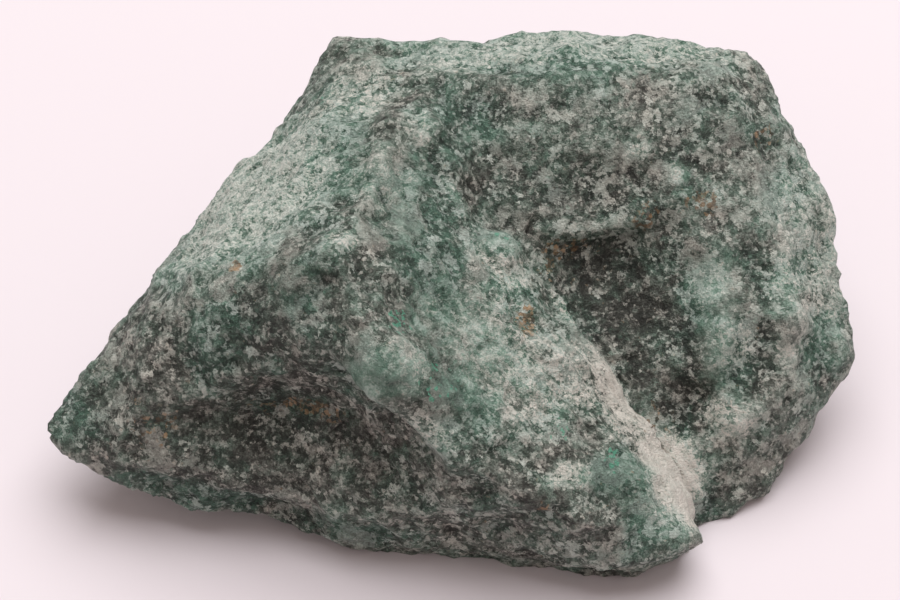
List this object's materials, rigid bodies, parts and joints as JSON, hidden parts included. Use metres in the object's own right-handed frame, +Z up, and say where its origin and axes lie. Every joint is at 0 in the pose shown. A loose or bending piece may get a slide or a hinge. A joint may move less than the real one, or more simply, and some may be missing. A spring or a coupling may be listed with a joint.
{
  "type": "raw aventurine stone",
  "caption": "Raw chunk of green aventurine: broken faces, a sloping crest, a slanting valley and a hollowed right face, resting on a flat patch of its underside.",
  "frame": {"origin": "middle of the stone's bounding box at the level of its underside", "axes": "+X to the right along the stone's length, +Y away from the front with the nose and the foot, +Z up"},
  "size_m": [0.061, 0.0402, 0.0241],
  "materials": {
    "aventurine": "broken green quartzite with pale quartz grains, small mica glints and a few rust specks"
  },
  "bodies": {
    "root": {"aventurine_stone": "aventurine"}
  },
  "joints": []
}
